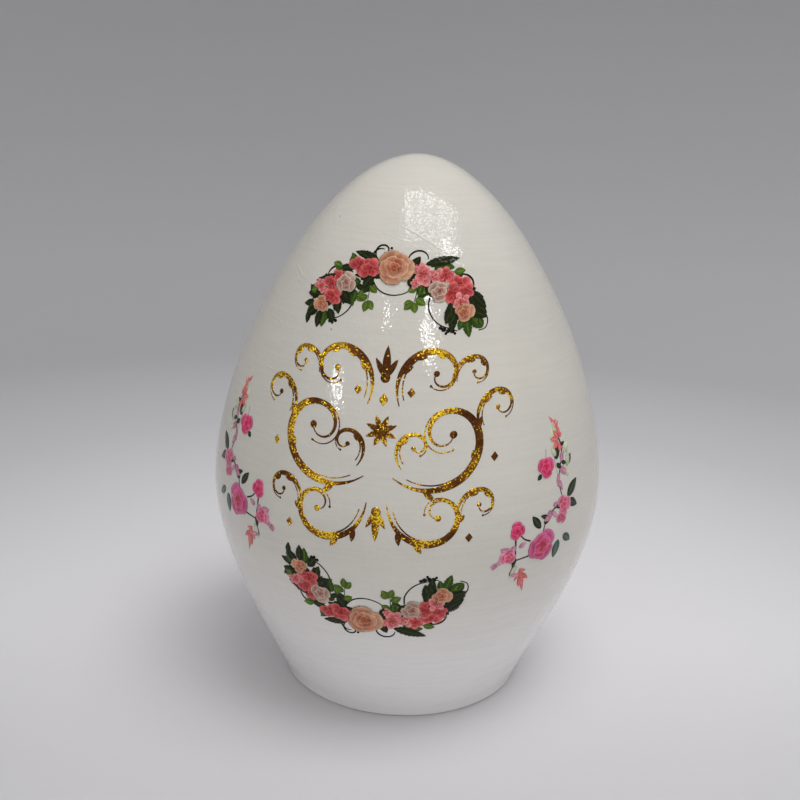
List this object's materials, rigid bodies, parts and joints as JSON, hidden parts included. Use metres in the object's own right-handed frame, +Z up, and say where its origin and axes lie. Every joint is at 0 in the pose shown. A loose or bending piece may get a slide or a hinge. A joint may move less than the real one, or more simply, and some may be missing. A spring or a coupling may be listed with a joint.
{
  "type": "decorated table egg",
  "caption": "Glossy white table egg on a flat foot, with flower garlands, side sprays of rosebuds and a gold foil scroll ornament.",
  "frame": {"origin": "centre of the flat foot, on the surface that the egg stands on", "axes": "+Z up through the crown of the egg, -Y towards the viewer of the decorated front, +X to that viewer's right"},
  "size_m": [0.0888, 0.0893, 0.12],
  "materials": {
    "painted_wood": "white paint under a clear gloss varnish",
    "printed_paper": "printed cut-out, varnished over",
    "gold_foil": "bright transfer foil, varnished over"
  },
  "bodies": {
    "root": {"egg_body": "painted_wood", "upper_garland": "printed_paper", "lower_garland": "printed_paper", "left_spray": "printed_paper", "right_spray": "printed_paper", "gold_finial": "gold_foil", "gold_rosette": "gold_foil", "gold_pendant": "gold_foil", "gold_centre_lozenge": "gold_foil", "gold_great_scroll_left": "gold_foil", "gold_inner_curl_left": "gold_foil", "gold_crest_scroll_left": "gold_foil", "gold_lower_scroll_left": "gold_foil", "gold_crest_lozenge_left": "gold_foil", "gold_side_lozenge_left": "gold_foil", "gold_foot_lozenge_left": "gold_foil", "gold_great_scroll_right": "gold_foil", "gold_inner_curl_right": "gold_foil", "gold_crest_scroll_right": "gold_foil", "gold_lower_scroll_right": "gold_foil", "gold_crest_lozenge_right": "gold_foil", "gold_side_lozenge_right": "gold_foil", "gold_foot_lozenge_right": "gold_foil"}
  },
  "joints": []
}
